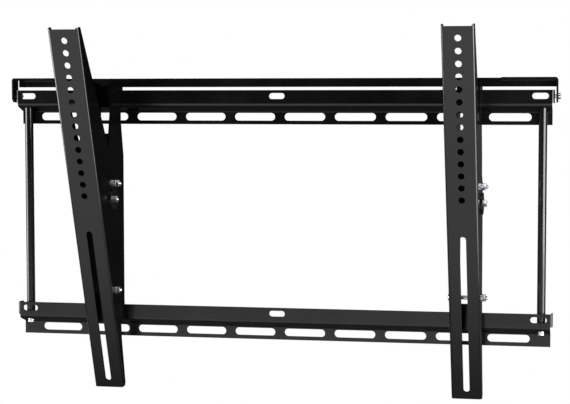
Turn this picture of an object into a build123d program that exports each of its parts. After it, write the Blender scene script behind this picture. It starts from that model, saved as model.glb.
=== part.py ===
"""Tilting wall bracket for a flat television.

Two joggled wall rails are joined by a rod near each end. Two hanging brackets hook over both rails
and slide along them, and a locking bar above the top rail keeps their hooks down. Each bracket
carries an arm that tilts about its lower bolt. The arm's two upper bolts ride in arc slots of the
bracket, and a nut on each bolt clamps the tilt.

Frame: X runs along the rails, Y into the wall and Z up. Y = 0 is the wall, Z = 0 is midway between
the two rows of wall slots, and X = 0 is the middle of the rails. All sizes are in millimetres.
"""
import math
import os

from build123d import *

os.makedirs("parts", exist_ok=True)

# Folded sheet steel
sheet = 2.5
bend_in = 1.5
bend_out = bend_in + sheet

# Fits
slide_gap = 0.5
hang_gap = 0.3
notch_gap = 0.6
arm_gap = 0.3
pivot_gap = 0.06
slot_gap = 0.3
bolt_gap = 0.1
spacer_gap = 0.2

# Wall rails
rail_length = 848
row_spacing = 339
flange_below = 11.8
flange_above = 10.0
joggle_rise = 7.3
face_height = 23.7
face_out = 22.0
slot_pitch = 80
slot_length = 65
slot_width = 12
slot_margin = 20
eye_inset = 17.6
eye_length = 25
eye_width = 9.2
eye_below_edge = 9.2
tab_beyond = 3.5
tab_back = 5.5

# Rods between the rails
rod_diameter = 13
rod_inset = 14
rod_above_joggle = 5
rod_screw_diameter = 6
rod_screw_depth = 12
rod_head_diameter = 10
rod_head_height = 6

# Locking bar
lip_gap = 5.5
lip_height = 13.6
bar_back_gap = 2.0
wing_length = 82
wing_front = 24.5
strip_beyond = 2.0
ear_gap = 0.5
ear_back = 6.0
ear_drop = 38
ear_chamfer = 5
lock_screw_diameter = 5
lock_head_diameter = 9
lock_head_height = 4
lock_nut_flats = 8
lock_nut_height = 4
lock_screw_end = 1.5
lock_depth = 12

# Arms
left_inset = 152.6
right_inset = 125
arm_width = 47
arm_length = 577.8
tilt_now = 17
tilt_travel = 12
pivot_out = 57
pivot_above_row = 68.5
pivot_from_top = 418.0
pivot_from_front = 20.9
arm_top_depth = 9.5
arm_shoulder_from_top = 196.8
arm_shoulder_depth = 58
arm_waist_depth = 36
arm_shin_below = 84
arm_shin_depth = 18
arm_bottom_depth = 10.5
face_relief = 1.8
lobe_margin = 8
lobe_length = 22
lobe_round = 18
toe_round = 6
hole_count = 14
hole_pitch = 18.275
hole_diameter = 9.6
hole_first = 18.4
arm_slot_start = 312.7
arm_slot_length = 253.6
arm_slot_width = 9.3

# Hanging brackets
bracket_shift = 2.0
friction_radius = 142.7
friction_ahead = 4.8
lock_beyond = 23.7
lock_behind = 0.2
reach_margin = 15
head_out = 56
head_rise = 11
head_depth = 16
shoulder_rise = 3
knee_drop = 5
waist_margin = 10
foot_out = 54
foot_drop = 27
foot_web_height = 40
bracket_back_out = 12
neck_drop = 62
neck_height = 55
plate_round = 8
hook_height = 27
hook_drop = 12
hook_crest = 6.5
finger_depth = 8
finger_drop = 10
finger_root = 10
top_finger_depth = 5.5
top_finger_crest = 5.5
toe_out = 3.5
toe_drop = 1.5
front_web_rise = 74

# Bolts through bracket and arm
bolt_diameter = 6
bolt_head_diameter = 12
bolt_head_height = 3.5
nut_flats = 10
nut_height = 5
bolt_end = 1
washer_diameter = 12.5
washer_thickness = 1.5
disc_diameter = 33
disc_thickness = 3
liner_diameter = 19
liner_thickness = 1.2
spacer_diameter = 10

# Rail heights, measured from a slot row
face_low = flange_above + joggle_rise
face_top = face_low + face_height
rail_half = rail_length / 2
top_row = row_spacing / 2
low_row = -row_spacing / 2
slot_count = int((rail_length - 2 * slot_margin) // slot_pitch)
eye_spacing = rail_half - eye_inset
rod_y = -face_out / 2
rod_x = rail_half - rod_inset
rod_r = rod_diameter / 2
rod_screw_r = rod_screw_diameter / 2
tab_out = rail_half + tab_beyond
tab_low = face_low + bend_out

# Locking bar places
lip_bottom = top_row + face_top + lip_gap
bar_top = lip_bottom + lip_height
strip_half = tab_out + strip_beyond
wing_start = strip_half - wing_length
ear_in = strip_half + ear_gap
ear_face = ear_in + sheet
lock_y = -lock_depth
lock_z = top_row + face_top - eye_below_edge
lock_r = lock_screw_diameter / 2
nut_face = tab_out - sheet

# Arm and bracket places
left_x = left_inset - rail_half
right_x = rail_half - right_inset
lean = math.radians(tilt_now)
pivot_y = -pivot_out
pivot_z = low_row + pivot_above_row
lock_radius = friction_radius + lock_beyond
arm_half = arm_width / 2
arm_inner = arm_half - sheet
left_liner_thickness = liner_thickness + 2 * bracket_shift
bracket_half = arm_inner - liner_thickness - arm_gap - bracket_shift
bracket_inner = bracket_half - sheet
spacer_half = bracket_inner - spacer_gap
bolt_r = bolt_diameter / 2
friction_at = Vector(
    pivot_y - friction_radius * math.sin(math.radians(friction_ahead)),
    pivot_z + friction_radius * math.cos(math.radians(friction_ahead)),
)
lock_at = Vector(
    pivot_y + lock_radius * math.sin(math.radians(lock_behind)),
    pivot_z + lock_radius * math.cos(math.radians(lock_behind)),
)
pivot_at = Vector(pivot_y, pivot_z)
bolt_places = [pivot_at, friction_at, lock_at]
spaced_places = [friction_at, lock_at]
washer_end = arm_half + washer_thickness
disc_end = arm_half + disc_thickness
bolt_tip = disc_end + nut_height + bolt_end


def side_plane(x, y=0, z=0):
    """Plane across the rails: local x is Y and local y is Z."""
    return Plane(origin=(x, y, z), x_dir=(0, 1, 0), z_dir=(1, 0, 0))


# Wall rails: flange with the wall slots, joggle, and a raised face with end tabs folded back
for rail_name, row in (("top_rail", top_row), ("bottom_rail", low_row)):
    with BuildPart() as rail:
        with BuildSketch(side_plane(0, 0, row)):
            with BuildLine():
                FilletPolyline(
                    (0, -flange_below),
                    (0, flange_above),
                    (sheet - face_out, face_low),
                    (sheet - face_out, face_top),
                    radius=bend_out,
                )
                offset(amount=sheet, side=Side.LEFT)
            make_face()
        extrude(amount=rail_half, both=True)

        for end, inner in ((-1, Side.RIGHT), (1, Side.LEFT)):
            with BuildSketch(Plane.XY.offset(row + tab_low)):
                with BuildLine():
                    FilletPolyline(
                        (end * (rail_half - bend_out), -face_out),
                        (end * tab_out, -face_out),
                        (end * tab_out, -tab_back),
                        radius=bend_out,
                    )
                    offset(amount=sheet, side=inner)
                make_face()
            extrude(amount=face_top - tab_low)

        with BuildSketch(Plane.XZ):
            with Locations((0, row)):
                with GridLocations(slot_pitch, slot_pitch, slot_count, 1):
                    SlotOverall(slot_length, slot_width)
            with Locations((0, row + face_top - eye_below_edge)):
                with GridLocations(eye_spacing, eye_spacing, 3, 1):
                    SlotOverall(eye_length, eye_width)
        extrude(amount=face_out, both=True, mode=Mode.SUBTRACT)

        with BuildSketch(Plane.XY.offset(row)):
            with Locations((-rod_x, rod_y), (rod_x, rod_y)):
                Circle(rod_r)
        extrude(amount=face_top, mode=Mode.SUBTRACT)

        if rail_name == "top_rail":
            with BuildSketch(side_plane(0)):
                with Locations((lock_y, lock_z)):
                    Circle(lock_r + bolt_gap)
            extrude(amount=rail_length, both=True, mode=Mode.SUBTRACT)
    rail.part.label = rail_name
    export_step(rail.part, f"parts/{rail_name}.step")

# Rods: each passes up through the top joggle and ends in the hole of the bottom joggle
rod_low = low_row + flange_above + joggle_rise / 2
rod_high = top_row + face_low + rod_above_joggle
for rod_name, x in (("left_rod", -rod_x), ("right_rod", rod_x)):
    with BuildPart() as rod:
        with BuildSketch(Plane.XY.offset(rod_low)):
            with Locations((x, rod_y)):
                Circle(rod_r)
        extrude(amount=rod_high - rod_low)
        with BuildSketch(Plane.XY.offset(rod_low)):
            with Locations((x, rod_y)):
                Circle(rod_screw_r + bolt_gap)
        extrude(amount=rod_screw_depth + bolt_gap, mode=Mode.SUBTRACT)
    rod.part.label = rod_name
    export_step(rod.part, f"parts/{rod_name}.step")

# Screws that hold the rods up from below
with BuildPart() as rod_screws:
    with BuildSketch(Plane.XY.offset(rod_low)):
        with Locations((-rod_x, rod_y), (rod_x, rod_y)):
            Circle(rod_head_diameter / 2)
    extrude(amount=-rod_head_height)
    with BuildSketch(Plane.XY.offset(rod_low)):
        with Locations((-rod_x, rod_y), (rod_x, rod_y)):
            Circle(rod_screw_r)
    extrude(amount=rod_screw_depth)
rod_screws.part.label = "rod_screws"
export_step(rod_screws.part, "parts/rod_screws.step")

# Locking bar: a strip above the top rail, with a wing at each end that folds down into an ear
with BuildPart() as bar:
    with BuildSketch(side_plane(0, 0, lip_bottom)):
        with Locations((-bar_back_gap, 0)):
            Rectangle(sheet, lip_height, align=(Align.MAX, Align.MIN))
    extrude(amount=wing_start, both=True)
    for end, inner in ((-1, Side.LEFT), (1, Side.RIGHT)):
        with BuildSketch(side_plane(end * wing_start, 0, lip_bottom)):
            with BuildLine():
                FilletPolyline(
                    (-bar_back_gap, 0),
                    (-bar_back_gap, lip_height),
                    (-wing_front, lip_height),
                    radius=bend_out,
                )
                offset(amount=sheet, side=Side.LEFT)
            make_face()
        extrude(amount=end * wing_length)
        with BuildSketch(Plane.XZ.offset(ear_back)):
            with BuildLine():
                FilletPolyline(
                    (end * (strip_half - bend_out), bar_top),
                    (end * ear_face, bar_top),
                    (end * ear_face, bar_top - ear_drop),
                    radius=bend_out,
                )
                offset(amount=sheet, side=inner)
            make_face()
        extrude(amount=wing_front - ear_back)
    chamfer(bar.edges().filter_by(Axis.X).group_by(Axis.Z)[0], ear_chamfer)
    with BuildSketch(side_plane(0)):
        with Locations((lock_y, lock_z)):
            Circle(lock_r + bolt_gap)
    extrude(amount=ear_face + sheet, both=True, mode=Mode.SUBTRACT)
bar.part.label = "locking_bar"
export_step(bar.part, "parts/locking_bar.step")

# Screws that hold the locking bar's ears to the rail's end tabs, and their nuts
with BuildPart() as lock_screws:
    for end in (-1, 1):
        with BuildSketch(side_plane(end * ear_face)):
            with Locations((lock_y, lock_z)):
                Circle(lock_head_diameter / 2)
        extrude(amount=end * lock_head_height)
        with BuildSketch(side_plane(end * ear_face)):
            with Locations((lock_y, lock_z)):
                Circle(lock_r)
        extrude(amount=-end * (ear_face - nut_face + lock_nut_height + lock_screw_end))
lock_screws.part.label = "locking_screws"
export_step(lock_screws.part, "parts/locking_screws.step")

with BuildPart() as lock_nuts:
    for end in (-1, 1):
        with BuildSketch(side_plane(end * nut_face)):
            with Locations((lock_y, lock_z)):
                RegularPolygon(lock_nut_flats / 2, 6, major_radius=False)
                Circle(lock_r + bolt_gap, mode=Mode.SUBTRACT)
        extrude(amount=-end * lock_nut_height)
lock_nuts.part.label = "locking_nuts"
export_step(lock_nuts.part, "parts/locking_nuts.step")

# Bracket outline places
web_back = -(face_out + slide_gap)
finger_front = sheet - face_out + slide_gap
hook_top = top_row + face_top + hang_gap
head_top = top_row + face_top + head_rise
top_finger_back = finger_front + top_finger_depth
toe_top = top_row + face_top - toe_drop
reach_y = friction_at.X - reach_margin
shoulder_z = lock_at.Y + shoulder_rise
knee_z = friction_at.Y - knee_drop
notch_top = low_row + face_top + notch_gap
foot_low = notch_top - foot_drop
back_low = notch_top + finger_root
neck_low = top_row - neck_drop
neck_top = neck_low + neck_height
front_slope = (-head_out - reach_y) / (head_top - shoulder_z)
front_web_y = reach_y + front_slope * front_web_rise
front_web_top = shoulder_z + front_web_rise
hollow_size = 2 * row_spacing

# Arm outline, measured from the pivot: back is towards the wall and up is along the arm
front = -pivot_from_front
arm_top = pivot_from_top
arm_bottom = pivot_from_top - arm_length
lock_angle = tilt_now + lock_behind
lobe_back = lock_radius * math.sin(math.radians(lock_angle)) + lobe_margin
lobe_up = lock_radius * math.cos(math.radians(lock_angle)) + lobe_margin
hole_middle = hole_first + hole_pitch * (hole_count - 1) / 2
slot_middle = arm_slot_start + arm_slot_length / 2

# Hanging brackets and arms, one pair on each side
for side, x in (("left", left_x), ("right", right_x)):
    # Bracket: two side plates with the tilt slots, webs at the front and the foot, and a hook
    bracket_x = x + bracket_shift
    with BuildPart() as bracket:
        with BuildSketch(side_plane(bracket_x)) as plate:
            with BuildLine():
                Polyline(
                    (-head_out, head_top),
                    (reach_y, shoulder_z),
                    (reach_y, knee_z),
                    (pivot_y - waist_margin, pivot_z),
                    (-foot_out, foot_low),
                    (web_back, foot_low),
                    (web_back, notch_top),
                    (finger_front, notch_top),
                    (finger_front, notch_top - finger_drop),
                    (finger_front + finger_depth, notch_top - finger_drop),
                    (-bracket_back_out, back_low),
                    (-bracket_back_out, neck_low),
                    (web_back, neck_top),
                    (web_back, hook_top),
                    (finger_front, hook_top),
                    (finger_front, hook_top - hook_drop),
                    (-toe_out, hook_top - hook_drop),
                    (-toe_out, toe_top),
                    (top_finger_back, toe_top),
                    (top_finger_back, hook_top + top_finger_crest),
                    (head_depth - head_out, head_top),
                    close=True,
                )
            make_face()
            fillet(plate.vertices().sort_by(Axis.X)[:3], plate_round)
        extrude(amount=bracket_half, both=True)
        with BuildSketch(side_plane(bracket_x, pivot_y, pivot_z)):
            Circle(bolt_r + pivot_gap)
            for radius, angle in ((friction_radius, -friction_ahead), (lock_radius, lock_behind)):
                with BuildLine(mode=Mode.PRIVATE) as path:
                    CenterArc((0, 0), radius, 90 - angle, -tilt_travel)
                SlotArc(path.edge(), 2 * (bolt_r + slot_gap))
        extrude(amount=bracket_half, both=True, mode=Mode.SUBTRACT)
        with BuildSketch(side_plane(bracket_x)):
            Rectangle(hollow_size, hollow_size)
        extrude(amount=bracket_inner, both=True, mode=Mode.SUBTRACT)
        with BuildSketch(side_plane(bracket_x)):
            with BuildLine():
                FilletPolyline(
                    (web_back, hook_top - hook_height),
                    (web_back, hook_top),
                    (finger_front, hook_top),
                    (finger_front, hook_top - hook_drop),
                    radius=slide_gap,
                )
                offset(amount=sheet, side=Side.LEFT)
            make_face()
            with Locations((web_back, hook_top)):
                Rectangle(sheet, hook_crest, align=(Align.MAX, Align.MIN))
            with Locations((web_back, foot_low)):
                Rectangle(sheet, foot_web_height, align=(Align.MAX, Align.MIN))
            with BuildLine():
                FilletPolyline(
                    (front_web_y, front_web_top),
                    (reach_y, shoulder_z),
                    (reach_y, knee_z),
                    radius=plate_round,
                )
                offset(amount=sheet, side=Side.LEFT)
            make_face()
        extrude(amount=bracket_half, both=True)
    bracket.part.label = f"{side}_bracket"
    export_step(bracket.part, f"parts/{side}_bracket.step")

    # Arm: a channel with tapered flanges, a row of holes and a long slot
    arm_plane = Plane(
        origin=(x, pivot_y, pivot_z),
        x_dir=(0, math.cos(lean), math.sin(lean)),
        z_dir=(1, 0, 0),
    )
    face_plane = Plane(
        origin=arm_plane.from_local_coords(Vector(front, arm_top, 0)),
        x_dir=(1, 0, 0),
        z_dir=(0, -math.cos(lean), -math.sin(lean)),
    )
    with BuildPart() as arm:
        with BuildSketch(arm_plane) as flange:
            with BuildLine():
                Polyline(
                    (front, arm_bottom),
                    (front, arm_top),
                    (front + arm_top_depth, arm_top),
                    (front + arm_shoulder_depth, arm_top - arm_shoulder_from_top),
                    (lobe_back, lobe_up),
                    (lobe_back, lobe_up - lobe_length),
                    (front + arm_waist_depth, 0),
                    (front + arm_shin_depth, -arm_shin_below),
                    (front + arm_bottom_depth, arm_bottom),
                    close=True,
                )
            make_face()
            fillet(flange.vertices().sort_by(Axis.X)[-2:], lobe_round)
            fillet(flange.vertices().group_by(Axis.Y)[0].sort_by(Axis.X)[-1], toe_round)
        extrude(amount=arm_half, both=True)
        with BuildSketch(arm_plane):
            with Locations((front + sheet, arm_bottom)):
                Rectangle(arm_length, arm_length, align=(Align.MIN, Align.MIN))
        extrude(amount=arm_inner, both=True, mode=Mode.SUBTRACT)
        back_axis = Axis(arm_plane.origin, arm_plane.x_dir)
        up_axis = Axis(arm_plane.origin, arm_plane.y_dir)
        inner_face = arm.faces().filter_by(back_axis).sort_by(back_axis)[1]
        fillet(inner_face.edges().filter_by(up_axis), bend_in)
        outer_face = arm.faces().filter_by(back_axis).sort_by(back_axis)[0]
        fillet(outer_face.edges().filter_by(up_axis), bend_out)
        with BuildSketch(face_plane):
            with Locations((0, -hole_middle)):
                with GridLocations(hole_pitch, hole_pitch, 1, hole_count):
                    Circle(hole_diameter / 2)
            with Locations((0, -slot_middle)):
                SlotOverall(arm_slot_length, arm_slot_width, rotation=90)
            Rectangle(arm_width - 2 * bend_out, 2 * face_relief)
        extrude(amount=-2 * sheet, mode=Mode.SUBTRACT)
        with BuildSketch(side_plane(x)):
            with Locations(*bolt_places):
                Circle(bolt_r + bolt_gap)
        extrude(amount=arm_width, both=True, mode=Mode.SUBTRACT)
    arm.part.label = f"{side}_arm"
    export_step(arm.part, f"parts/{side}_arm.step")

    # Bolts: low round heads on the left, threaded ends on the right
    with BuildPart() as bolts:
        with BuildSketch(side_plane(x - arm_half)):
            with Locations(*bolt_places):
                Circle(bolt_head_diameter / 2)
        extrude(amount=-bolt_head_height)
        with BuildSketch(side_plane(x - arm_half)):
            with Locations(*bolt_places):
                Circle(bolt_r)
        extrude(amount=arm_half + bolt_tip)
    bolts.part.label = f"{side}_bolts"
    export_step(bolts.part, f"parts/{side}_bolts.step")

    with BuildPart() as washers:
        with BuildSketch(side_plane(x + arm_half)):
            with Locations(pivot_at, lock_at):
                Circle(washer_diameter / 2)
                Circle(bolt_r + bolt_gap, mode=Mode.SUBTRACT)
        extrude(amount=washer_thickness)
    washers.part.label = f"{side}_washers"
    export_step(washers.part, f"parts/{side}_washers.step")

    with BuildPart() as disc:
        with BuildSketch(side_plane(x + arm_half)):
            with Locations(friction_at):
                Circle(disc_diameter / 2)
                Circle(bolt_r + bolt_gap, mode=Mode.SUBTRACT)
        extrude(amount=disc_thickness)
    disc.part.label = f"{side}_friction_disc"
    export_step(disc.part, f"parts/{side}_friction_disc.step")

    with BuildPart() as nuts:
        with BuildSketch(side_plane(x + washer_end)):
            with Locations(pivot_at, lock_at):
                RegularPolygon(nut_flats / 2, 6, major_radius=False)
                Circle(bolt_r + bolt_gap, mode=Mode.SUBTRACT)
        extrude(amount=nut_height)
        with BuildSketch(side_plane(x + disc_end)):
            with Locations(friction_at):
                RegularPolygon(nut_flats / 2, 6, major_radius=False)
                Circle(bolt_r + bolt_gap, mode=Mode.SUBTRACT)
        extrude(amount=nut_height)
    nuts.part.label = f"{side}_nuts"
    export_step(nuts.part, f"parts/{side}_nuts.step")

    # Liners inside the arm's flanges, beside the bracket's plates
    with BuildPart() as liners:
        for start, thickness in (
            (-arm_inner, left_liner_thickness),
            (arm_inner - liner_thickness, liner_thickness),
        ):
            with BuildSketch(side_plane(x + start)):
                with Locations(*bolt_places):
                    Circle(liner_diameter / 2)
                    Circle(bolt_r + bolt_gap, mode=Mode.SUBTRACT)
            extrude(amount=thickness)
    liners.part.label = f"{side}_liners"
    export_step(liners.part, f"parts/{side}_liners.step")

    # Spacer tubes on the two upper bolts
    with BuildPart() as spacers:
        with BuildSketch(side_plane(bracket_x - spacer_half)):
            with Locations(*spaced_places):
                Circle(spacer_diameter / 2)
                Circle(bolt_r + bolt_gap, mode=Mode.SUBTRACT)
        extrude(amount=2 * spacer_half)
    spacers.part.label = f"{side}_spacers"
    export_step(spacers.part, f"parts/{side}_spacers.step")
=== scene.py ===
"""Looks of a tilting television wall bracket: black coat, zinc fasteners and studio light."""
import math

import bmesh
import bpy
from bpy.props import FloatProperty, FloatVectorProperty, IntProperty, PointerProperty
from mathutils import Matrix, Vector


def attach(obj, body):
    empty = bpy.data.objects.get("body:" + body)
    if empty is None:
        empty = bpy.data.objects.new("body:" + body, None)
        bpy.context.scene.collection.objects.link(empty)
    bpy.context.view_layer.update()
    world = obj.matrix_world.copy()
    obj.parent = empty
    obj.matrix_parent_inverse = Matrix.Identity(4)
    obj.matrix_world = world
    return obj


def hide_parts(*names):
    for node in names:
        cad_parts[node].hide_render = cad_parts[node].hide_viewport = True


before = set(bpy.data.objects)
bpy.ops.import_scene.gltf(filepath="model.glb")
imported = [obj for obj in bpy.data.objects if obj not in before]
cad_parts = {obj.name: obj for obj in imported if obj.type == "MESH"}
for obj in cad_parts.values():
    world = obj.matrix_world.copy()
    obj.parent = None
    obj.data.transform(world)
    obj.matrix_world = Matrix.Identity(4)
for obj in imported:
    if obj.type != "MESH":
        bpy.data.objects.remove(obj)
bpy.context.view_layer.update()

bl_info = {
    "name": "Tilting Wall Bracket Looks",
    "version": (1, 0, 0),
    "blender": (4, 5, 0),
    "location": "3D View > Sidebar > Bracket",
    "description": "Finishes, fasteners and studio for a tilting television wall bracket",
    "category": "Object",
}

MM = 0.001
PICTURE_WIDTH = 570
SENSOR_WIDTH = 36.0
QUARTER_TURN = math.radians(90)

# Pieces
SIDES = ("left", "right")
SHEET_NODES = (
    "top_rail", "bottom_rail", "locking_bar", "left_bracket", "right_bracket", "left_arm",
    "right_arm",
)
ROD_NODES = ("left_rod", "right_rod")
SCREW_NODES = ("locking_screws", "rod_screws")

# Shapes of the fasteners
DOME_STEPS = 8
DOME_SHARE = 0.75
HEAD_MARGIN = 1.1
BOLT_REACH = 10 * MM
TIP_TAPER = 0.8
THREAD_CREST = (0.4, 0.6)
NUT_BORE = 0.3
DISC_BORE = 0.2
RIM_SHARE = 0.3
INNER_EDGE_SHARE = 0.5

# Limits for merging, sharp edges and soft edges
SOLID_MERGE = 0.01 * MM
PIECE_MERGE = 0.002 * MM
NODE_MERGE = 0.005 * MM
THREAD_MERGE_SHARE = 0.02
END_DEPTH = 0.1 * MM
SHARP_ANGLE = math.radians(32)
FLAT_ANGLE = math.radians(0.5)
BEVEL_ANGLE = math.radians(40)
BEVEL_STEPS = 2
FACE_WEIGHT = 100

# Finishes: index of refraction, spread of the roughness and shades of the colour
MOTTLE_RANGE = (0.3, 0.7)
COAT_IOR = 1.5
COAT_SPREAD = 0.05
ROD_GRAIN_SHARE = 0.4
ZINC_SPREAD = (-0.07, 0.08)
ZINC_SHADES = (0.9, 1.06)
NYLON_IOR = 1.48
NYLON_ROUGHNESS = (0.24, 0.34)
NYLON_COLOURS = ((0.003, 0.003, 0.003), (0.005, 0.005, 0.005))

# Light of the room by depth and by height: pairs of place, from -1 to 1, and share
SIDE_BANDS = (
    ((-0.60, 0.0), (-0.45, 1.0), (0.05, 1.0), (0.25, 0.0)),
    ((-0.40, 0.0), (-0.25, 1.0), (0.10, 1.0), (0.22, 0.0)),
)
FRONT_BANDS = (
    ((-0.70, 1.0), (-0.50, 0.0)),
    ((-0.15, 1.0), (-0.05, 0.0)),
)
BACK_BANDS = (
    ((0.95, 0.0), (0.985, 1.0)),
    ((-0.5, 1.0), (0.5, 1.0)),
)
REAR_BANDS = (
    ((0.35, 0.0), (0.50, 1.0), (0.74, 1.0), (0.84, 0.0)),
    ((-0.75, 0.0), (-0.5, 1.0), (-0.18, 1.0), (-0.06, 0.0)),
)

# Floor: where it fades to white, and how bright reflections see it from front to back
FLOOR_FADE = (0.9, 1.5)
FLOOR_BAND = ((-0.95, 1.0), (-0.50, 0.22), (0.0, 0.22), (0.25, 0.05))
FLOOR_ROUGHNESS = 0.85

# Softboxes: name, place, width, height and watts
SOFTBOXES = (
    ("right_softbox", (1.05, -0.60, 0.12), 0.8, 0.44, 13),
    ("low_softbox", (1.0, -0.35, -0.22), 0.5, 0.4, 5),
    ("left_softbox", (-1.2, -0.42, 0.04), 0.6, 0.6, 12),
    ("top_softbox", (0.2, -1.0, 2.2), 2.0, 1.2, 16),
)


# Settings


class CoatSettings(bpy.types.PropertyGroup):
    """Powder coat of the folded sheet and the rods."""

    colour: FloatVectorProperty(
        name="Coat colour", description="Colour of the black powder coat", subtype="COLOR",
        default=(0.0014, 0.0014, 0.0016), min=0, max=1,
    )
    bloom: FloatVectorProperty(
        name="Bloom colour", description="Slightly lighter patches of the coat", subtype="COLOR",
        default=(0.0024, 0.0024, 0.0028), min=0, max=1,
    )
    roughness: FloatProperty(
        name="Coat roughness", description="Roughness of the satin coat",
        default=0.20, min=0, max=1, subtype="FACTOR",
    )
    rod_roughness: FloatProperty(
        name="Rod roughness", description="Roughness of the rods' coat",
        default=0.20, min=0, max=1, subtype="FACTOR",
    )
    grain: FloatProperty(
        name="Grain", description="Grains of orange peel per metre", default=650, min=1,
    )
    grain_depth: FloatProperty(
        name="Grain depth", description="Height of the orange peel",
        default=0.00001, min=0, unit="LENGTH",
    )
    edge_round: FloatProperty(
        name="Edge rounding", description="Coat-softened radius of the sheet's cut edges",
        default=0.00035, min=0, unit="LENGTH",
    )


class FastenerSettings(bpy.types.PropertyGroup):
    """Zinc-plated bolts, nuts, washers and screws."""

    colour: FloatVectorProperty(
        name="Zinc colour", description="Colour of the bright zinc plate", subtype="COLOR",
        default=(0.82, 0.85, 0.90), min=0, max=1,
    )
    roughness: FloatProperty(
        name="Zinc roughness", description="Roughness of the plating",
        default=0.19, min=0, max=1, subtype="FACTOR",
    )
    thread_pitch: FloatProperty(
        name="Thread pitch", description="Pitch of the bolts' threads",
        default=0.001, min=0.0001, unit="LENGTH",
    )
    thread_depth: FloatProperty(
        name="Thread depth", description="Depth of the bolts' threads",
        default=0.0005, min=0, unit="LENGTH",
    )
    edge_round: FloatProperty(
        name="Fastener edge", description="Rounding of heads, nuts and washers",
        default=0.00035, min=0, unit="LENGTH",
    )
    segments: IntProperty(
        name="Round segments", description="Segments of round fasteners", default=40, min=12,
    )


class StageSettings(bpy.types.PropertyGroup):
    """Camera, floor and light."""

    camera_place: FloatVectorProperty(
        name="Camera place", description="Where the camera stands", subtype="TRANSLATION",
        unit="LENGTH", default=(0.48395, -1.94752, 0.14048),
    )
    camera_yaw: FloatProperty(
        name="Camera yaw", description="Turn of the camera to the left", subtype="ANGLE",
        default=0.14648,
    )
    camera_pitch: FloatProperty(
        name="Camera pitch", description="Tilt of the camera, down is negative", subtype="ANGLE",
        default=-0.05188,
    )
    camera_roll: FloatProperty(
        name="Camera roll", description="Lean of the camera about its line of sight",
        subtype="ANGLE", default=0.00402,
    )
    lens: FloatProperty(
        name="Lens", description="Focal length on a 36 mm wide sensor", default=80.413, min=1,
    )
    middle_pixel: FloatProperty(
        name="Middle pixel", description="Picture column that the lens looks straight at",
        default=404.0,
    )
    room_glow: FloatProperty(
        name="Room glow", description="Light of the dark room that reflections see",
        default=0.008, min=0,
    )
    front_glow: FloatProperty(
        name="Front glow", description="Light of the pale ground far in front",
        default=1.2, min=0,
    )
    back_glow: FloatProperty(
        name="Back glow", description="Light of the room straight behind", default=0.07, min=0,
    )
    rear_glow: FloatProperty(
        name="Rear glow", description="Light of the pale ground behind, to each side",
        default=0.9, min=0,
    )
    side_glow: FloatProperty(
        name="Side glow", description="Light of the room on the left and the right",
        default=0.7, min=0,
    )
    floor_level: FloatProperty(
        name="Floor level", description="Height of the floor below the bracket",
        default=-0.75, unit="LENGTH",
    )
    floor_size: FloatProperty(
        name="Floor size", description="Side of the floor", default=3.0, unit="LENGTH",
    )
    floor_colour: FloatVectorProperty(
        name="Floor colour", description="Pale floor", subtype="COLOR",
        default=(0.86, 0.86, 0.87), min=0, max=1,
    )


# Reading the CAD nodes


def solid_boxes(node):
    """Lowest and highest corner of each separate solid of a CAD node, from left to right."""
    mesh = bmesh.new()
    mesh.from_mesh(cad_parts[node].data)
    bmesh.ops.remove_doubles(mesh, verts=mesh.verts, dist=SOLID_MERGE)
    waiting = set(mesh.verts)
    boxes = []
    while waiting:
        front = [waiting.pop()]
        points = []
        while front:
            vert = front.pop()
            points.append(vert.co.copy())
            for edge in vert.link_edges:
                other = edge.other_vert(vert)
                if other in waiting:
                    waiting.remove(other)
                    front.append(other)
        low = Vector(map(min, zip(*points)))
        high = Vector(map(max, zip(*points)))
        boxes.append((low, high))
    mesh.free()
    return sorted(boxes, key=lambda pair: tuple(pair[0]))


def head_base(node, middle, radius):
    """Where a bolt's round head meets the arm, from the CAD vertices beyond its shank."""
    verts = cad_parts[node].data.vertices
    return max(
        vert.co.x for vert in verts
        if radius * HEAD_MARGIN < (vert.co - middle).yz.length < BOLT_REACH
    )


def shank_radius(node, middle):
    """Radius of a bolt's plain shank, from the CAD vertices at its threaded end."""
    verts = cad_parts[node].data.vertices
    last = max(vert.co.x for vert in verts)
    return max(
        (vert.co - middle).yz.length for vert in verts
        if vert.co.x > last - END_DEPTH and (vert.co - middle).yz.length < BOLT_REACH
    )


# Mesh helpers


def flatten_faces(piece):
    """Keeps large faces flat in the shading beside their rounded edges."""
    normals = piece.modifiers.new("flat_faces", "WEIGHTED_NORMAL")
    normals.keep_sharp = True
    normals.weight = FACE_WEIGHT


def finish_piece(mesh, name, material, body, nodes):
    """Turns a bmesh into a smooth-shaded piece that rides on a body and stands for CAD nodes."""
    bmesh.ops.remove_doubles(mesh, verts=mesh.verts, dist=PIECE_MERGE)
    bmesh.ops.recalc_face_normals(mesh, faces=mesh.faces)
    for face in mesh.faces:
        face.smooth = True
    for edge in mesh.edges:
        if len(edge.link_faces) == 2:
            edge.smooth = edge.calc_face_angle(0) < SHARP_ANGLE
    data = bpy.data.meshes.new(name)
    mesh.to_mesh(data)
    mesh.free()
    piece = bpy.data.objects.new(name, data)
    bpy.context.scene.collection.objects.link(piece)
    data.materials.append(material)
    flatten_faces(piece)
    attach(piece, body)
    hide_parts(*nodes)


def join(mesh, shape, place):
    """Lays a shape built along Z along +X, its base at a place, and moves it into a mesh."""
    turn = Matrix.Translation(place) @ Matrix.Rotation(QUARTER_TURN, 4, "Y")
    bmesh.ops.transform(shape, matrix=turn, verts=shape.verts)
    data = bpy.data.meshes.new("joining")
    shape.to_mesh(data)
    shape.free()
    mesh.from_mesh(data)
    bpy.data.meshes.remove(data)


def draw_profile(shape, profile):
    """Vertices and edges of an open profile of (radius, height) points."""
    verts = [shape.verts.new((radius, 0, height)) for radius, height in profile]
    return verts + [shape.edges.new(pair) for pair in zip(verts, verts[1:])]


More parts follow.
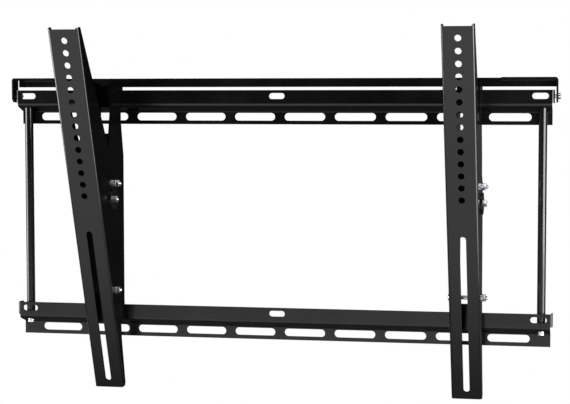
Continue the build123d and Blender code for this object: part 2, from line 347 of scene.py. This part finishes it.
def add_lathe(mesh, profile, place, segments):
    """Spins a profile about X, its heights running along +X from place."""
    shape = bmesh.new()
    bmesh.ops.spin(
        shape, geom=draw_profile(shape, profile), cent=(0, 0, 0), axis=(0, 0, 1),
        angle=math.tau, steps=segments, use_merge=True,
    )
    join(mesh, shape, place)


def add_nut(mesh, flats, height, place, edge_round, segments):
    """Adds a chamfered hexagon with a round bore along +X."""
    shape = bmesh.new()
    outer = bmesh.ops.create_circle(shape, segments=6, radius=flats / math.sqrt(3))["verts"]
    inner = bmesh.ops.create_circle(shape, segments=segments, radius=flats * NUT_BORE)["verts"]
    ring = {edge for vert in outer + inner for edge in vert.link_edges}
    bmesh.ops.bridge_loops(shape, edges=list(ring))
    raised = bmesh.ops.extrude_face_region(shape, geom=list(shape.faces))["geom"]
    top = [part for part in raised if isinstance(part, bmesh.types.BMVert)]
    bmesh.ops.translate(shape, vec=(0, 0, height), verts=top)
    rim = [
        edge for edge in shape.edges
        if all(vert.co.xy.length > flats / 2 for vert in edge.verts)
    ]
    bmesh.ops.bevel(
        shape, geom=rim, offset=edge_round, offset_type="OFFSET", segments=BEVEL_STEPS,
        profile=0.5, affect="EDGES", material=-1,
    )
    join(mesh, shape, place)


def add_thread(mesh, radius, place, length, pitch, depth, segments):
    """Adds a threaded stretch along +X: a vee profile is screwed round the axis."""
    shape = bmesh.new()
    turns = max(1, int(length / pitch))
    crest = [(radius, pitch * share) for share in THREAD_CREST]
    profile = [(radius - depth, 0), *crest, (radius - depth, pitch)]
    bmesh.ops.spin(
        shape, geom=draw_profile(shape, profile), cent=(0, 0, 0), axis=(0, 0, 1),
        dvec=(0, 0, pitch / segments), angle=math.tau * turns, steps=segments * turns,
        use_merge=False,
    )
    bmesh.ops.remove_doubles(shape, verts=shape.verts, dist=pitch * THREAD_MERGE_SHARE)
    join(mesh, shape, place)


def dress_node(node, material, edge_round):
    """Gives a CAD node a material and a soft edge."""
    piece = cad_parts[node]
    piece.data.materials.clear()
    piece.data.materials.append(material)
    weld = piece.modifiers.new("weld", "WELD")
    weld.merge_threshold = NODE_MERGE
    plain = piece.modifiers.new("plain_faces", "DECIMATE")
    plain.decimate_type = "DISSOLVE"
    plain.angle_limit = FLAT_ANGLE
    bevel = piece.modifiers.new("soft_edge", "BEVEL")
    bevel.width = edge_round
    bevel.segments = BEVEL_STEPS
    bevel.limit_method = "ANGLE"
    bevel.angle_limit = BEVEL_ANGLE
    bevel.use_clamp_overlap = True
    flatten_faces(piece)


# Shader groups and materials


def shader_group(name, inputs, outputs):
    """Empty shader group with named float or vector sockets, and its two end nodes."""
    tree = bpy.data.node_groups.new(name, "ShaderNodeTree")
    for sockets, way in ((inputs, "INPUT"), (outputs, "OUTPUT")):
        for label, kind in sockets:
            tree.interface.new_socket(name=label, in_out=way, socket_type=kind)
    return tree, tree.nodes.new("NodeGroupInput"), tree.nodes.new("NodeGroupOutput")


def grain_group():
    """Orange peel and slow mottling of a sprayed, plated or moulded surface."""
    name = "surface_grain"
    if name in bpy.data.node_groups:
        return bpy.data.node_groups[name]
    number, vector = "NodeSocketFloat", "NodeSocketVector"
    tree, start, end = shader_group(
        name,
        (("Place", vector), ("Grain", number), ("Patch", number)),
        (("Height", number), ("Mottle", number)),
    )
    for scale, result, detail, roughness in (
        ("Grain", "Height", 3.0, 0.55), ("Patch", "Mottle", 4.0, 0.6),
    ):
        noise = tree.nodes.new("ShaderNodeTexNoise")
        noise.inputs["Detail"].default_value = detail
        noise.inputs["Roughness"].default_value = roughness
        tree.links.new(start.outputs["Place"], noise.inputs["Vector"])
        tree.links.new(start.outputs[scale], noise.inputs["Scale"])
        tree.links.new(noise.outputs["Fac"], end.inputs[result])
    return tree


def new_material(name):
    """Empty node material with its Principled shader."""
    material = bpy.data.materials.new(name)
    material.use_nodes = True
    return material, material.node_tree, material.node_tree.nodes["Principled BSDF"]


def add_range(tree, source, low, high, smooth=False):
    """Map Range node that takes a stretch of a source, low to high, to 0 to 1."""
    node = tree.nodes.new("ShaderNodeMapRange")
    node.interpolation_type = "SMOOTHSTEP" if smooth else "LINEAR"
    node.inputs["From Min"].default_value = low
    node.inputs["From Max"].default_value = high
    tree.links.new(source, node.inputs["Value"])
    return node


def add_grain(tree, shader, *, grain, patch, depth, roughness, colours):
    """Feeds a shader's colour, roughness and normal from the grain group."""
    place = tree.nodes.new("ShaderNodeTexCoord")
    group = tree.nodes.new("ShaderNodeGroup")
    group.node_tree = grain_group()
    group.inputs["Grain"].default_value = grain
    group.inputs["Patch"].default_value = patch
    tree.links.new(place.outputs["Object"], group.inputs["Place"])
    mix = tree.nodes.new("ShaderNodeMix")
    mix.data_type = "RGBA"
    for socket, colour in zip("AB", colours):
        mix.inputs[socket].default_value = (*colour, 1)
    rough = add_range(tree, group.outputs["Mottle"], *MOTTLE_RANGE)
    rough.inputs["To Min"].default_value, rough.inputs["To Max"].default_value = roughness
    bump = tree.nodes.new("ShaderNodeBump")
    bump.inputs["Distance"].default_value = depth
    tree.links.new(group.outputs["Mottle"], mix.inputs["Factor"])
    tree.links.new(mix.outputs["Result"], shader.inputs["Base Color"])
    tree.links.new(rough.outputs["Result"], shader.inputs["Roughness"])
    tree.links.new(group.outputs["Height"], bump.inputs["Height"])
    tree.links.new(bump.outputs["Normal"], shader.inputs["Normal"])


def coat_material(name, roughness, settings, grain_share=1.0):
    """Black powder coat with orange peel."""
    material, tree, shader = new_material(name)
    shader.inputs["IOR"].default_value = COAT_IOR
    add_grain(
        tree, shader, grain=settings.grain, patch=9.0, depth=settings.grain_depth * grain_share,
        roughness=(roughness - COAT_SPREAD, roughness + COAT_SPREAD),
        colours=(settings.colour, settings.bloom),
    )
    return material


def zinc_material(settings):
    """Bright zinc plate, a little uneven."""
    name = "bright_zinc"
    if name in bpy.data.materials:
        return bpy.data.materials[name]
    material, tree, shader = new_material(name)
    shader.inputs["Metallic"].default_value = 1.0
    colour = Vector(settings.colour)
    add_grain(
        tree, shader, grain=1400.0, patch=130.0, depth=0.000012,
        roughness=[settings.roughness + spread for spread in ZINC_SPREAD],
        colours=[colour * shade for shade in ZINC_SHADES],
    )
    return material


def nylon_material():
    """Black nylon of the friction discs and liners."""
    name = "black_nylon"
    if name in bpy.data.materials:
        return bpy.data.materials[name]
    material, tree, shader = new_material(name)
    shader.inputs["IOR"].default_value = NYLON_IOR
    add_grain(
        tree, shader, grain=900.0, patch=60.0, depth=0.00002, roughness=NYLON_ROUGHNESS,
        colours=NYLON_COLOURS,
    )
    return material


# Studio helpers


def add_band(tree, source, stops):
    """Ramp of grey over one part of a place or direction, from pairs of place and value."""
    lift = add_range(tree, source, -1.0, 1.0)
    band = tree.nodes.new("ShaderNodeValToRGB")
    tree.links.new(lift.outputs["Result"], band.inputs["Fac"])
    ramp = band.color_ramp
    for spot, value in stops:
        stop = ramp.elements.new((spot + 1) / 2)
        stop.color = (value, value, value, 1)
    ramp.elements[0].color = (stops[0][1],) * 3 + (1,)
    ramp.elements[-1].color = (stops[-1][1],) * 3 + (1,)
    return band.outputs["Color"]


def add_math(tree, operation, *values):
    """Math node fed from sockets or plain numbers."""
    node = tree.nodes.new("ShaderNodeMath")
    node.operation = operation
    for socket, value in zip(node.inputs, values):
        if isinstance(value, bpy.types.NodeSocket):
            tree.links.new(value, socket)
        else:
            socket.default_value = value
    return node.outputs["Value"]


def studio_world(scene, settings):
    """White background; reflections see a dark room with bands of light."""
    world = bpy.data.worlds.new("studio")
    scene.world = world
    world.use_nodes = True
    tree = world.node_tree
    surface = tree.nodes["Background"]
    surface.inputs["Strength"].default_value = 1.0
    place = tree.nodes.new("ShaderNodeTexCoord")
    split = tree.nodes.new("ShaderNodeSeparateXYZ")
    tree.links.new(place.outputs["Generated"], split.inputs["Vector"])
    level = settings.room_glow
    for glow, (depths, heights) in (
        (settings.side_glow, SIDE_BANDS),
        (settings.front_glow, FRONT_BANDS),
        (settings.back_glow, BACK_BANDS),
        (settings.rear_glow, REAR_BANDS),
    ):
        by_depth = add_band(tree, split.outputs["Y"], depths)
        by_height = add_band(tree, split.outputs["Z"], heights)
        area = add_math(tree, "MULTIPLY", by_depth, by_height)
        level = add_math(tree, "MULTIPLY_ADD", area, glow, level)
    path = tree.nodes.new("ShaderNodeLightPath")
    show = tree.nodes.new("ShaderNodeMix")
    show.data_type = "RGBA"
    show.inputs["B"].default_value = (1, 1, 1, 1)
    tree.links.new(path.outputs["Is Camera Ray"], show.inputs["Factor"])
    tree.links.new(level, show.inputs["A"])
    tree.links.new(show.outputs["Result"], surface.inputs["Color"])


def floor_material(settings):
    """Pale floor, white to the camera away from the bracket; reflections see a set brightness."""
    material, tree, shader = new_material("pale_floor")
    shader.inputs["Base Color"].default_value = (*settings.floor_colour, 1)
    shader.inputs["Roughness"].default_value = FLOOR_ROUGHNESS
    place = tree.nodes.new("ShaderNodeTexCoord")
    reach = tree.nodes.new("ShaderNodeVectorMath")
    reach.operation = "LENGTH"
    split = tree.nodes.new("ShaderNodeSeparateXYZ")
    path = tree.nodes.new("ShaderNodeLightPath")
    white = tree.nodes.new("ShaderNodeEmission")
    mix = tree.nodes.new("ShaderNodeMixShader")
    camera_ray, glossy_ray = path.outputs["Is Camera Ray"], path.outputs["Is Glossy Ray"]
    tree.links.new(place.outputs["Object"], reach.inputs[0])
    tree.links.new(place.outputs["Object"], split.inputs["Vector"])
    fade = add_range(tree, reach.outputs["Value"], *FLOOR_FADE, smooth=True)
    far = add_math(tree, "MULTIPLY", fade.outputs["Result"], camera_ray)
    shown = add_math(tree, "MAXIMUM", far, glossy_ray)
    ahead = add_band(tree, split.outputs["Y"], FLOOR_BAND)
    level = add_math(tree, "MAXIMUM", ahead, camera_ray)
    tree.links.new(shown, mix.inputs["Fac"])
    tree.links.new(level, white.inputs["Strength"])
    tree.links.new(shader.outputs["BSDF"], mix.inputs[1])
    tree.links.new(white.outputs["Emission"], mix.inputs[2])
    tree.links.new(mix.outputs["Shader"], tree.nodes["Material Output"].inputs["Surface"])
    return material


def add_softbox(name, place, width, height, power):
    """Soft area light aimed at the middle of the bracket."""
    data = bpy.data.lights.new(name, "AREA")
    data.shape = "RECTANGLE"
    data.size = width
    data.size_y = height
    data.energy = power
    lamp = bpy.data.objects.new(name, data)
    lamp.location = place
    lamp.visible_camera = False
    lamp.rotation_euler = (-Vector(place)).to_track_quat("-Z", "Y").to_euler()
    bpy.context.scene.collection.objects.link(lamp)


def add_floor(scene, settings):
    """Square floor below the bracket."""
    data = bpy.data.meshes.new("floor")
    mesh = bmesh.new()
    bmesh.ops.create_grid(mesh, x_segments=1, y_segments=1, size=settings.floor_size / 2)
    bmesh.ops.translate(mesh, vec=(0, 0, settings.floor_level), verts=mesh.verts)
    mesh.to_mesh(data)
    mesh.free()
    floor = bpy.data.objects.new("floor", data)
    scene.collection.objects.link(floor)
    data.materials.append(floor_material(settings))


def add_camera(scene, settings):
    """Camera at the photograph's viewing angle."""
    data = bpy.data.cameras.new("camera")
    data.sensor_width = SENSOR_WIDTH
    data.lens = settings.lens
    data.shift_x = (PICTURE_WIDTH / 2 - settings.middle_pixel) / PICTURE_WIDTH
    camera = bpy.data.objects.new("camera", data)
    camera.location = settings.camera_place
    aim = (
        Matrix.Rotation(settings.camera_yaw, 3, "Z")
        @ Matrix.Rotation(QUARTER_TURN + settings.camera_pitch, 3, "X")
        @ Matrix.Rotation(settings.camera_roll, 3, "Z")
    )
    camera.rotation_euler = aim.to_euler()
    scene.collection.objects.link(camera)
    scene.camera = camera


# Operators


class BRACKET_OT_sheet(bpy.types.Operator):
    """Coat the rails, the locking bar, the brackets and the arms."""

    bl_idname = "bracket.sheet"
    bl_label = "Coat Folded Sheet"

    def execute(self, context):
        coat = context.scene.bracket_coat
        material = coat_material("satin_black_coat", coat.roughness, coat)
        for node in SHEET_NODES:
            dress_node(node, material, coat.edge_round)
        return {"FINISHED"}


class BRACKET_OT_rods(bpy.types.Operator):
    """Coat the two rods that join the rails."""

    bl_idname = "bracket.rods"
    bl_label = "Coat Rods"

    def execute(self, context):
        coat = context.scene.bracket_coat
        material = coat_material(
            "rod_black_coat", coat.rod_roughness, coat, grain_share=ROD_GRAIN_SHARE,
        )
        for node in ROD_NODES:
            dress_node(node, material, coat.edge_round)
        return {"FINISHED"}


class BRACKET_OT_bolts(bpy.types.Operator):
    """Make the cross bolts with low round heads and threaded ends."""

    bl_idname = "bracket.bolts"
    bl_label = "Make Bolts"

    def execute(self, context):
        zinc = context.scene.bracket_fasteners
        material = zinc_material(zinc)
        for side in SIDES:
            nuts = solid_boxes(f"{side}_nuts")
            mesh = bmesh.new()
            for low, high in solid_boxes(f"{side}_bolts"):
                middle = (low + high) / 2
                nut = min(nuts, key=lambda pair: ((pair[0] + pair[1]) / 2 - middle).yz.length)
                radius = shank_radius(f"{side}_bolts", middle)
                head_end = head_base(f"{side}_bolts", middle, radius)
                thread_start = nut[0].x
                place = Vector((low.x, middle.y, middle.z))
                self.add_head(mesh, (high.z - low.z) / 2, head_end - low.x, place, zinc)
                place.x = head_end
                plain = thread_start - head_end
                shank = ((0, 0), (radius, 0), (radius, plain), (0, plain))
                add_lathe(mesh, shank, place, zinc.segments)
                place.x = thread_start
                self.add_end(mesh, radius, high.x - thread_start, place, zinc)
            finish_piece(
                mesh, f"{side}_round_bolts", material, f"{side}_tilt", [f"{side}_bolts"],
            )
        return {"FINISHED"}

    @staticmethod
    def add_head(mesh, radius, rise, place, zinc):
        """Low domed head whose flat side meets the arm."""
        dome = [(0, 0)]
        for step in range(1, DOME_STEPS + 1):
            turn = QUARTER_TURN * step / DOME_STEPS
            dome.append((radius * math.sin(turn), rise * DOME_SHARE * (1 - math.cos(turn))))
        dome += [(radius, rise), (0, rise)]
        add_lathe(mesh, dome, place, zinc.segments)

    @staticmethod
    def add_end(mesh, radius, length, place, zinc):
        """Core with a tapered tip, and the thread round it."""
        depth, pitch = zinc.thread_depth, zinc.thread_pitch
        root = radius - depth
        core = ((0, 0), (root, 0), (root, length - depth), (root * TIP_TAPER, length), (0, length))
        add_lathe(mesh, core, place, zinc.segments)
        add_thread(mesh, radius, place, length - pitch, pitch, depth, zinc.segments)


class BRACKET_OT_nuts(bpy.types.Operator):
    """Make the chamfered nuts."""

    bl_idname = "bracket.nuts"
    bl_label = "Make Nuts"

    def execute(self, context):
        zinc = context.scene.bracket_fasteners
        material = zinc_material(zinc)
        groups = [(f"{side}_nuts", f"{side}_tilt") for side in SIDES]
        groups.append(("locking_nuts", "wall_frame"))
        for node, body in groups:
            mesh = bmesh.new()
            for low, high in solid_boxes(node):
                middle = (low + high) / 2
                place = Vector((low.x, middle.y, middle.z))
                flats, height = high.z - low.z, high.x - low.x
                add_nut(mesh, flats, height, place, zinc.edge_round, zinc.segments)
            name = node.replace("nuts", "hex_nuts")
            finish_piece(mesh, name, material, body, [node])
        return {"FINISHED"}


class BRACKET_OT_washers(bpy.types.Operator):
    """Make the flat washers and the friction discs with rounded rims."""

    bl_idname = "bracket.washers"
    bl_label = "Make Washers and Discs"

    def execute(self, context):
        zinc = context.scene.bracket_fasteners
        for side in SIDES:
            for node, name, material, slot in (
                (f"{side}_washers", f"{side}_flat_washers", zinc_material(zinc), "zinc"),
                (f"{side}_friction_disc", f"{side}_grip_disc", nylon_material(), "nylon"),
            ):
                mesh = bmesh.new()
                for low, high in solid_boxes(node):
                    middle = (low + high) / 2
                    outer = (high.z - low.z) / 2
                    if slot == "zinc":
                        inner = shank_radius(f"{side}_bolts", middle)
                    else:
                        inner = outer * DISC_BORE
                    place = Vector((low.x, middle.y, middle.z))
                    self.add_ring(mesh, inner, outer, high.x - low.x, place, zinc)
                finish_piece(mesh, name, material, f"{side}_tilt", [node])
        return {"FINISHED"}

    @staticmethod
    def add_ring(mesh, inner, outer, thick, place, zinc):
        """Flat ring with a rounded rim."""
        edge = min(zinc.edge_round, thick / 4)
        soft = edge * RIM_SHARE
        profile = (
            (inner, 0), (outer - edge, 0), (outer - soft, soft), (outer, edge),
            (outer, thick - edge), (outer - soft, thick - soft), (outer - edge, thick),
            (inner, thick), (inner, 0),
        )
        add_lathe(mesh, profile, place, zinc.segments)


class BRACKET_OT_inner(bpy.types.Operator):
    """Dress the liners and spacer tubes inside the arms."""

    bl_idname = "bracket.inner"
    bl_label = "Dress Liners and Spacers"

    def execute(self, context):
        zinc = context.scene.bracket_fasteners
        edge_round = zinc.edge_round * INNER_EDGE_SHARE
        for side in SIDES:
            dress_node(f"{side}_liners", nylon_material(), edge_round)
            dress_node(f"{side}_spacers", zinc_material(zinc), edge_round)
        return {"FINISHED"}


class BRACKET_OT_lock_screws(bpy.types.Operator):
    """Dress the screws of the locking bar and the rods."""

    bl_idname = "bracket.lock_screws"
    bl_label = "Dress Screws"

    def execute(self, context):
        zinc = context.scene.bracket_fasteners
        for node in SCREW_NODES:
            dress_node(node, zinc_material(zinc), zinc.edge_round)
        return {"FINISHED"}


class BRACKET_OT_stage(bpy.types.Operator):
    """Set the floor, the lights and the camera."""

    bl_idname = "bracket.stage"
    bl_label = "Set Stage"

    def execute(self, context):
        scene = context.scene
        settings = scene.bracket_stage
        scene.view_settings.view_transform = "Standard"
        studio_world(scene, settings)
        add_floor(scene, settings)
        for softbox in SOFTBOXES:
            add_softbox(*softbox)
        add_camera(scene, settings)
        return {"FINISHED"}


# Panel and registration

OPERATORS = (
    BRACKET_OT_sheet,
    BRACKET_OT_rods,
    BRACKET_OT_bolts,
    BRACKET_OT_nuts,
    BRACKET_OT_washers,
    BRACKET_OT_inner,
    BRACKET_OT_lock_screws,
    BRACKET_OT_stage,
)


class BRACKET_PT_looks(bpy.types.Panel):
    """Lists the steps that dress the bracket."""

    bl_idname = "BRACKET_PT_looks"
    bl_label = "Wall Bracket"
    bl_space_type = "VIEW_3D"
    bl_region_type = "UI"
    bl_category = "Bracket"

    def draw(self, context):
        for operator in OPERATORS:
            self.layout.operator(operator.bl_idname)


CLASSES = (CoatSettings, FastenerSettings, StageSettings) + OPERATORS + (BRACKET_PT_looks,)


def register():
    """Registers the classes and their settings."""
    for cls in CLASSES:
        bpy.utils.register_class(cls)
    bpy.types.Scene.bracket_coat = PointerProperty(type=CoatSettings)
    bpy.types.Scene.bracket_fasteners = PointerProperty(type=FastenerSettings)
    bpy.types.Scene.bracket_stage = PointerProperty(type=StageSettings)


def unregister():
    """Removes the settings and the classes."""
    del bpy.types.Scene.bracket_stage
    del bpy.types.Scene.bracket_fasteners
    del bpy.types.Scene.bracket_coat
    for cls in reversed(CLASSES):
        bpy.utils.unregister_class(cls)


def main():
    """Dresses the bracket."""
    register()
    bpy.ops.bracket.sheet()
    bpy.ops.bracket.rods()
    bpy.ops.bracket.bolts()
    bpy.ops.bracket.nuts()
    bpy.ops.bracket.washers()
    bpy.ops.bracket.inner()
    bpy.ops.bracket.lock_screws()
    bpy.ops.bracket.stage()
    bpy.context.view_layer.update()


if __name__ == "__main__":
    main()
